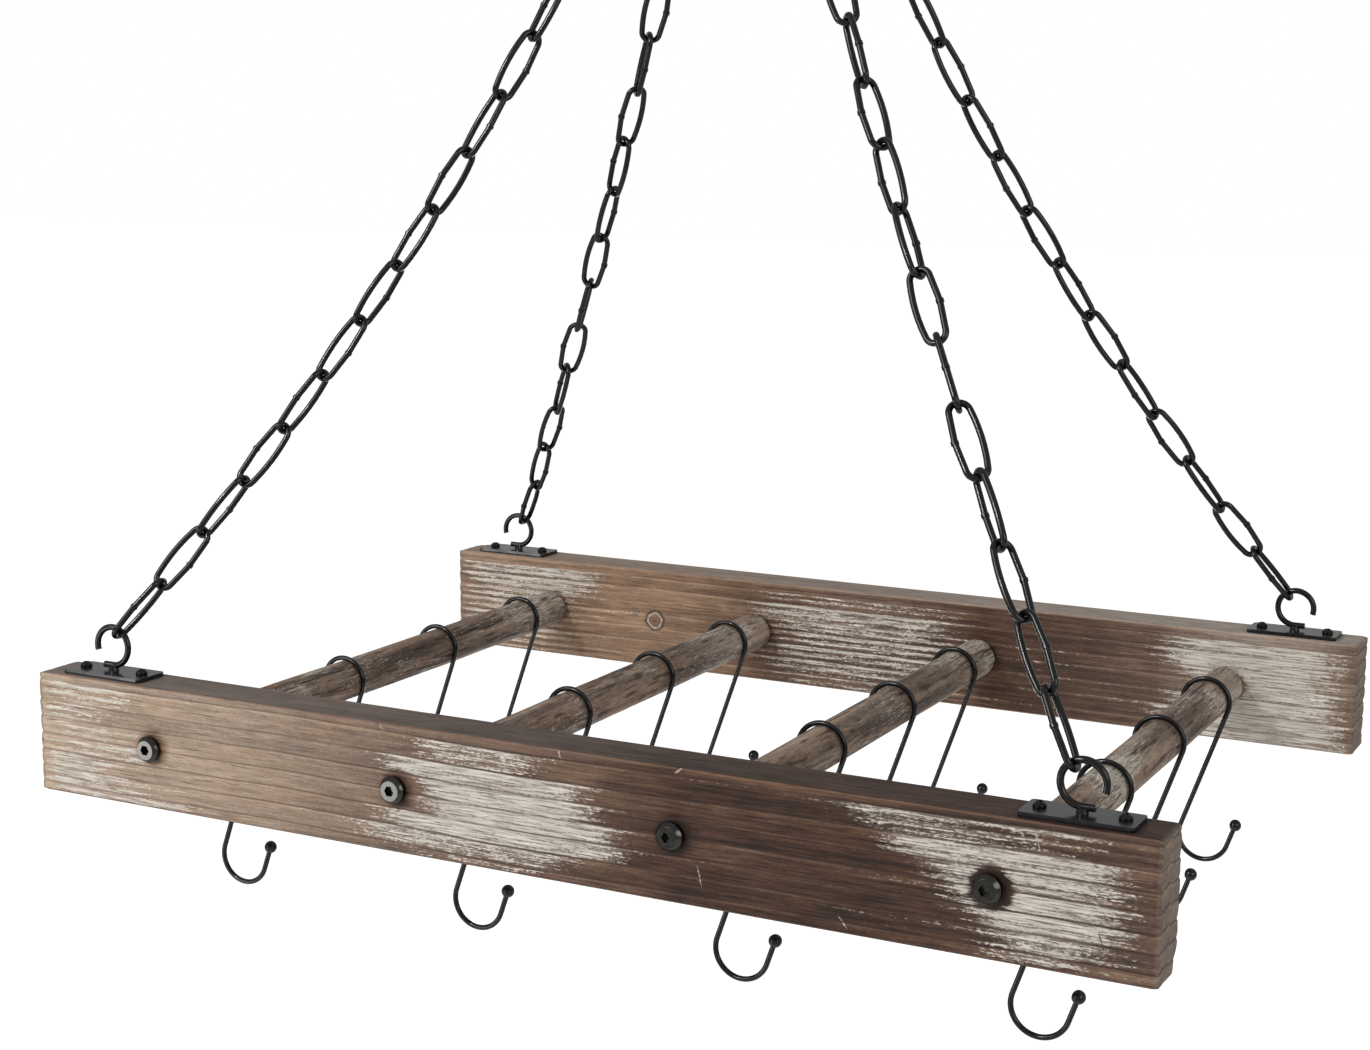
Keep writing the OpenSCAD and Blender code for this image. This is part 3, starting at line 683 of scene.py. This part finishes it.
# The marks that the wood's material reads
def beamMarks(skin, beam):
    look, seed = beamLook, skin.seed
    onFace, onTop, onEnd = skin.onFace, skin.onTop, skin.onEnd
    stain, worn = stainAndShadowMark(skin), wornMark(skin, beam)

    faceLine = onFace * beam["lineDark"] * rise(skin.x, *look["lineFade"])
    line = broken(seed + 13, skin.x, skin.down, *look["lineBroken"])
    line = line * np.maximum(faceLine, onEnd * look["endLine"])
    wash = washMark(skin, beam) * (1 - stain) * onFace
    wash -= look["stainBare"] * stain + look["wornBare"] * worn

    tint = alongBeam(skin, beam["tints"]) + ringWobble(seed + 15, skin, *look["tintUneven"])
    # darker round each bolt: a stain, and to its right the painted shadow of the bolt head
    tint -= look["stainAndShadowDark"] * stain
    reach, length, width = look["topUneven"]
    topTint = alongBeam(skin, beam["topTints"])
    topTint += wobble(seed + 16, reach, skin.x / length, skin.y / width)
    reach, length, width = look["endUneven"]
    endTint = look["endTint"] + wobble(seed + 17, reach, skin.y / length, skin.z / width)

    veil = alongBeam(skin, beam["veils"]) * onFace * (1 - stain)
    veil = veil * (1 + ringWobble(seed + 19, skin, *look["veilUneven"]))
    ridged = onFace * alongBeam(skin, beam["ridged"])
    return {
        "tint": tint * onFace + topTint * onTop + endTint * onEnd,
        "wash": wash,
        "line": line,
        "worn": worn,
        "grey": onTop * alongBeam(skin, beam["topGrey"]) + onEnd * look["endGrey"],
        "veil": veil + onTop * alongBeam(skin, beam["topVeils"]) + onEnd * look["endVeil"],
        "down": skin.down / (2 * skin.half[2]),
        "ridged": ridged * broken(seed + 21, skin.x, skin.down, *look["ridgedBroken"]),
    }


def makeBeam(name):
    beam = beams[name]
    low, high = (np.array(corner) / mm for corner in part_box(name))
    half, middle = (high - low) / 2, (high + low) / 2
    points, normals, faces = blockSkin(half, beamLook["cells"], np.array(beamLook["edge"]))
    skin = beamPlaces(beam, half, points, normals)
    points = points - normals * beamDepth(skin, beam)[:, None]
    points += chipMove(skin, beam, points)

    knotFace = low[1] + knotLook["under"]
    finish = beamFinish | {
        "lines": beam["lines"],
        "height": 2 * half[2],
        "knots": [((x, knotFace, middle[2] + z), radius) for x, z, radius in beam["knots"]],
        "scratches": [((x, low[1], middle[2] + z), *shape) for x, z, *shape in beam["scratches"]],
    }
    wood = weatheredFir("whitewashed wire-brushed fir, " + name.replace("_", " "), finish)
    piece = newPiece(name + "_wood", points + middle, faces, wood, beamMarks(skin, beam))
    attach(piece, "rack")
    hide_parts(name)
    print(name, "made with", len(faces), "faces")


makeBeam("front_beam")
makeBeam("back_beam")

# Lengths are in mm
rungLook = {
    "around": 128,                   # points round the pole
    "step": 2.6,                     # from ring of points to ring of points
    "bevel": 2.2,
    "endRings": (0.15, 0.4, 0.65, 0.85, 1),   # rings of points on an end, in shares of its radius
    "bevelRings": (0.35, 0.7),
    "endWithin": 0.01,               # a point this near the end lies on it
    "firstSeed": 40,
    "seedStep": 7,
    "sway": (0.012, 90),             # how far the furrows wander, in turns, and over what length
    # a step from the seed, the cells round the pole, and their length
    "noise": {
        "furrows": (1, 32, 70),
        "cracks": (2, 64, 19),
        "lumps": (3, 4, 60),
        "washNoise": (6, 8, 32),
        "tintNoise": (7, 16, 100),
        "greyNoise": (8, 8, 80),
    },
    "crackEdges": (0.74, 0.9),
    "depths": {"lumps": 0.45, "furrows": 0.42, "cracks": 0.48},
    "ragged": (0.9, 6, 16),          # of the ends: depth, how far in, and cells round the pole
    "endShare": 0.3,                 # the end faces follow that much of it
    "leastSize": 0.05,               # share of the radius that stays at the middle of the ends
    "endRough": (0.25, 16, 3),
    "nearBack": (150, 20),           # from the back end, where it gets whiter and is whitest
    "marks": {
        # in the cracks the tint is darker and the dark line colour shows: painted shade
        "tint": {"even": 0.42, "tintNoise": 0.75, "cracks": -0.1, "nearBack": 0.12},
        "wash": {"even": 0.2, "washNoise": 0.6, "cracks": -0.35, "nearBack": 0.3, "onEnd": -0.5},
        "line": {"openCracks": 0.6},
        "worn": {"even": 0.1, "ragged": 0.5},
        "grey": {"even": 0.25, "greyNoise": 0.4},
        "veil": {"even": 0.06, "nearBack": 0.14},
    },
    # where more whitewash stayed: rung, place along it, half its length and strength
    "patches": [("rung_1", -150, 70, 0.25), ("rung_4", -70, 50, 0.45)],
}
rungWood = weatheredFir("whitewashed fir pole", rungFinish)
print("rung wood made")


# Rings of points along a pole: each one's place along it and its size, from end to end
def poleRings(radius, half):
    look, bevel = rungLook, rungLook["bevel"]
    start = [(-half, share * (radius - bevel)) for share in look["endRings"]]
    start += [(-half + bevel * share, radius - bevel * (1 - share)) for share in look["bevelRings"]]
    count = int((2 * half - 2 * bevel) / look["step"])
    shaft = [(along, radius) for along in np.linspace(-half + bevel, half - bevel, count)]
    return start + shaft + [(-along, size) for along, size in start[::-1]]


# The quads between rings of points, and a face that closes each end
def poleFaces(rings, around):
    faces = []
    for row in range(rings - 1):
        for spot in range(around):
            a, b = row * around + spot, row * around + (spot + 1) % around
            faces.append((a, a + around, b + around, b))
    faces.append(tuple(range(around)))
    faces.append(tuple(range((rings - 1) * around, rings * around))[::-1])
    return faces


# A pole peeled and brushed by hand: furrows along it, and a ragged bevel at each end
def makeRung(name):
    look, around = rungLook, rungLook["around"]
    low, high = (np.array(corner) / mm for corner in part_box(name))
    middle, radius, half = (high + low) / 2, (high[0] - low[0]) / 2, (high[1] - low[1]) / 2
    seed = look["firstSeed"] + look["seedStep"] * (rungNames.index(name) + 1)
    rings = poleRings(radius, half)
    along, size = (np.repeat(values, around) for values in zip(*rings))
    turn = np.tile(np.arange(around) / around, len(rings))
    reach, length = look["sway"]
    drift = turn + wobble(seed, reach, along / length)
    noise = {field: softNoise(seed + step, drift * cells, along / length, cells)
             for field, (step, cells, length) in look["noise"].items()}
    noise["cracks"] = rise(noise["cracks"], *look["crackEdges"])
    onEnd = (np.abs(along) > half - look["endWithin"]).astype(float)

    depth = sum(most * noise[field] for field, most in look["depths"].items())
    most, inward, cells = look["ragged"]
    ragged = rise(half - np.abs(along), inward, 0) * most
    ragged = ragged * softNoise(seed + 4, drift * cells, np.sign(along) + 2, cells)
    size = size - (depth + ragged) * (1 - onEnd * (1 - look["endShare"]))
    size = np.maximum(size, look["leastSize"] * radius)
    most, cells, width = look["endRough"]
    inset = onEnd * most * softNoise(seed + 5, turn * cells, size / width, cells)
    points = np.stack([size * np.cos(2 * pi * turn), along - np.sign(along) * inset,
                       size * np.sin(2 * pi * turn)], 1)

    begins, full = look["nearBack"]
    fields = {
        "even": np.ones(len(along)),
        "cracks": noise["cracks"],
        "openCracks": noise["cracks"] * (1 - onEnd),
        "ragged": ragged,
        "onEnd": onEnd,
        "nearBack": rise(along, half - begins, half - full),
    }
    for field in ("washNoise", "tintNoise", "greyNoise"):
        fields[field] = noise[field] - noiseMiddle
    marks = {mark: sum(share * fields[field] for field, share in shares.items())
             for mark, shares in look["marks"].items()}
    for rung, place, reach, strength in look["patches"]:
        if rung == name:
            marks["wash"] += strength * hump(along, place, reach)
    piece = newPiece(name + "_wood", points + middle, poleFaces(len(rings), around), rungWood, marks)
    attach(piece, "rack")
    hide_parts(name)


for rungName in rungNames:
    makeRung(rungName)
print("rungs made")


# A coat on mild steel: its blacks or greys and its gloss vary in patches, and it has fine bumps.
# Sizes are in mm.
def coatedSteel(name, finish):
    material, tree = newMaterial(name)
    place = addNode(tree, "TexCoord", {})
    peel = addNode(tree, "TexNoise", {
        "Scale": 1 / (finish["peelSize"] * mm), "Detail": 2.0, "Vector": (place, "Object")})
    dust = addNode(tree, "TexNoise", {
        "Scale": 1 / (finish["patchSize"] * mm), "Detail": 4.0, "Roughness": 0.65,
        "Vector": (place, "Object")})
    colour = addNode(tree, "ValToRGB", {"stops": finish["colours"], "Fac": dust})
    least, most = finish["roughness"]
    gloss = addNode(tree, "MapRange", {
        "From Min": 0.3, "From Max": 0.7, "To Min": least, "To Max": most, "Value": dust})
    bump = addNode(tree, "Bump", {
        "Strength": finish["peel"], "Distance": finish["peelHeight"] * mm, "Height": peel})
    surface = addNode(tree, "BsdfPrincipled", {
        "Metallic": finish["metallic"], "Specular IOR Level": finish["specular"],
        "Base Color": colour, "Roughness": gloss, "Normal": bump})
    addNode(tree, "OutputMaterial", {"Surface": surface})
    return material


# Black powder coat on wire: baked on as powder, which flows out smooth on a thin round wire. It
# gives a deep black with narrow highlights along the wire.
chainBlack = coatedSteel("black powder-coated steel wire", {
    "colours": [(0.3, "070606"), (0.7, "110e0d")],
    "roughness": (0.16, 0.22), "metallic": 0.0, "specular": 0.35,
    "patchSize": 14, "peelSize": 0.7, "peel": 0.03, "peelHeight": 0.08,
})
# The same coat on cut sheet, which shows its orange peel: broken, softer highlights
plateBlack = coatedSteel("black powder-coated steel sheet", {
    "colours": [(0.3, "101011"), (0.7, "1d1c1e")],
    "roughness": (0.14, 0.26), "metallic": 0.0, "specular": 0.35,
    "patchSize": 9, "peelSize": 0.8, "peel": 0.25, "peelHeight": 0.08,
})
# A matt powder, whose rough skin gives an even charcoal from below
ceilingBlack = coatedSteel("matt black powder-coated steel sheet", {
    "colours": [(0.3, "101011"), (0.7, "1a191b")],
    "roughness": (0.5, 0.62), "metallic": 0.0, "specular": 0.2,
    "patchSize": 12, "peelSize": 0.8, "peel": 0.12, "peelHeight": 0.08,
})
# Black nickel, plated in a bath onto the turned and polished heads: a dark, clean mirror
boltBlack = coatedSteel("black nickel plating", {
    "colours": [(0.3, "3c3b39"), (0.7, "4b4a47")],
    "roughness": (0.14, 0.22), "metallic": 1.0, "specular": 0.5,
    "patchSize": 4, "peelSize": 0.5, "peel": 0.03, "peelHeight": 0.08,
})
# Zinc, plated onto the inserts as they were turned: a pale grey metal with a blurred shine
zincGrey = coatedSteel("zinc-plated steel", {
    "colours": [(0.3, "9b9b96"), (0.7, "b5b4ae")],
    "roughness": (0.3, 0.45), "metallic": 1.0, "specular": 0.5,
    "patchSize": 5, "peelSize": 0.4, "peel": 0.2, "peelHeight": 0.08,
})

# The frame's own steel nodes keep their shape, with the sharp edges of these broken, in mm
steel = {
    "edgeBreak": {"hanger_plate": 0.3, "ceiling_plate": 0.3, "rung_bolts": 0.25, "plate_screws": 0.2},
    "breakAngle": 0.6,               # an edge that turns more than this, in radians, is sharp
    "joinWithin": 0.002,
    "finish": {"hanger_plate": plateBlack, "ceiling_plate": ceilingBlack, "rung_bolts": boltBlack,
               "rung_inserts": zincGrey},
}


def startOf(name, table, other):
    return next((value for start, value in table.items() if name.startswith(start)), other)


for name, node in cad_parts.items():
    if name in beams or name in rungNames:
        continue
    for holder in node.material_slots:
        holder.link = "OBJECT"
        holder.material = startOf(name, steel["finish"], chainBlack)
    width = startOf(name, steel["edgeBreak"], 0)
    if width:
        node.modifiers.new("join", "WELD").merge_threshold = steel["joinWithin"] * mm
        edge = node.modifiers.new("edge break", "BEVEL")
        edge.width, edge.segments = width * mm, 2
        edge.limit_method, edge.angle_limit = "ANGLE", steel["breakAngle"]
        edge.harden_normals = True
print("steel dressed")

# A pale sweep of floor, the light of a plain studio, and the photograph's viewpoint. Lengths are
# in metres and angles in radians.
studio = {
    "floorLevel": -2.4,              # the rack hangs from a ceiling of this height
    "floorSize": 40,
    "floorCells": 4,
    "floorPaint": "f4f4f4",
    "floorLift": 0.58,               # what only the camera sees, which makes it white
    "dome": 0.52,
    "aim": (0, 0, -0.75),
    # name, place, width and power in watts
    "lamps": [
        ("key softbox", (-2.2, -3.0, 1.2), 2.2, 62),
        ("fill softbox", (3.0, -1.6, 0.4), 2.0, 30),
        ("back softbox", (-1.4, 2.6, -1.6), 1.4, 26),
        ("glint lamp", (-0.9, -2.6, 0.9), 0.34, 34),
        ("low softbox", (-1.7, -2.2, -1.42), 0.64, 9),
    ],
    "cameraPlace": (0.6524, -1.3413, -0.40949),
    "yaw": 0.4751, "pitch": -0.1711, "roll": -0.0077,
    "lens": 58.57, "sensor": 36,     # in mm
    "nearest": 0.05,
}


# White to the camera, and a dimmer light on everything else
def addWorld():
    world = bpy.data.worlds.new("studio light")
    world.use_nodes = True
    tree = world.node_tree
    tree.nodes.clear()
    rays = addNode(tree, "LightPath", {})
    soft = addNode(tree, "Background", {"Color": (1, 1, 1, 1), "Strength": studio["dome"]})
    white = addNode(tree, "Background", {"Color": (1, 1, 1, 1), "Strength": 1.0})
    mixed = addNode(tree, "MixShader", {0: (rays, "Is Camera Ray"), 1: soft, 2: white})
    addNode(tree, "OutputWorld", {"Surface": mixed})
    bpy.context.scene.world = world


# Matt white wall paint: rolled on, with no shine, so it takes the shadow and shows no lamp
def addFloor():
    material, tree = newMaterial("matt white floor")
    paint = addNode(tree, "BsdfPrincipled", {
        "Base Color": tone(studio["floorPaint"]), "Roughness": 0.9, "Specular IOR Level": 0.0})
    rays = addNode(tree, "LightPath", {})
    lift = addNode(tree, "Math", {
        "operation": "MULTIPLY", 0: (rays, "Is Camera Ray"), 1: studio["floorLift"]})
    glow = addNode(tree, "Emission", {"Color": (1, 1, 1, 1), "Strength": lift})
    both = addNode(tree, "AddShader", {0: paint, 1: glow})
    addNode(tree, "OutputMaterial", {"Surface": both})
    reach, cells = studio["floorSize"] / mm, studio["floorCells"]
    rows = np.linspace(-reach, reach, cells + 1)
    points = np.array([(x, y, studio["floorLevel"] / mm) for y in rows for x in rows])
    corners = (0, 1, cells + 2, cells + 1)
    faces = [tuple(row * (cells + 1) + column + corner for corner in corners)
             for row in range(cells) for column in range(cells)]
    floor = newPiece("floor", points, faces, material)


def addLamp(name, place, size, power):
    light = bpy.data.lights.new(name, "AREA")
    light.shape, light.size, light.energy = "DISK", size, power
    lamp = bpy.data.objects.new(name, light)
    lamp.location = place
    lamp.visible_camera = False
    aim = Vector(studio["aim"]) - Vector(place)
    lamp.rotation_euler = aim.to_track_quat("-Z", "Y").to_euler()
    bpy.context.scene.collection.objects.link(lamp)


def addCamera():
    camera = bpy.data.objects.new("camera", bpy.data.cameras.new("camera"))
    camera.data.lens, camera.data.sensor_width = studio["lens"], studio["sensor"]
    camera.data.sensor_fit = "HORIZONTAL"
    camera.data.clip_start = studio["nearest"]
    turn = (Matrix.Rotation(studio["yaw"], 3, "Z") @ Matrix.Rotation(studio["pitch"], 3, "X")
            @ Matrix.Rotation(studio["roll"], 3, "Y") @ Matrix.Rotation(pi / 2, 3, "X"))
    camera.matrix_world = Matrix.Translation(studio["cameraPlace"]) @ turn.to_4x4()
    bpy.context.scene.collection.objects.link(camera)
    bpy.context.scene.camera = camera


addWorld()
addFloor()
for lampRow in studio["lamps"]:
    addLamp(*lampRow)
addCamera()
bpy.context.scene.view_settings.view_transform = "Standard"
print("studio made")
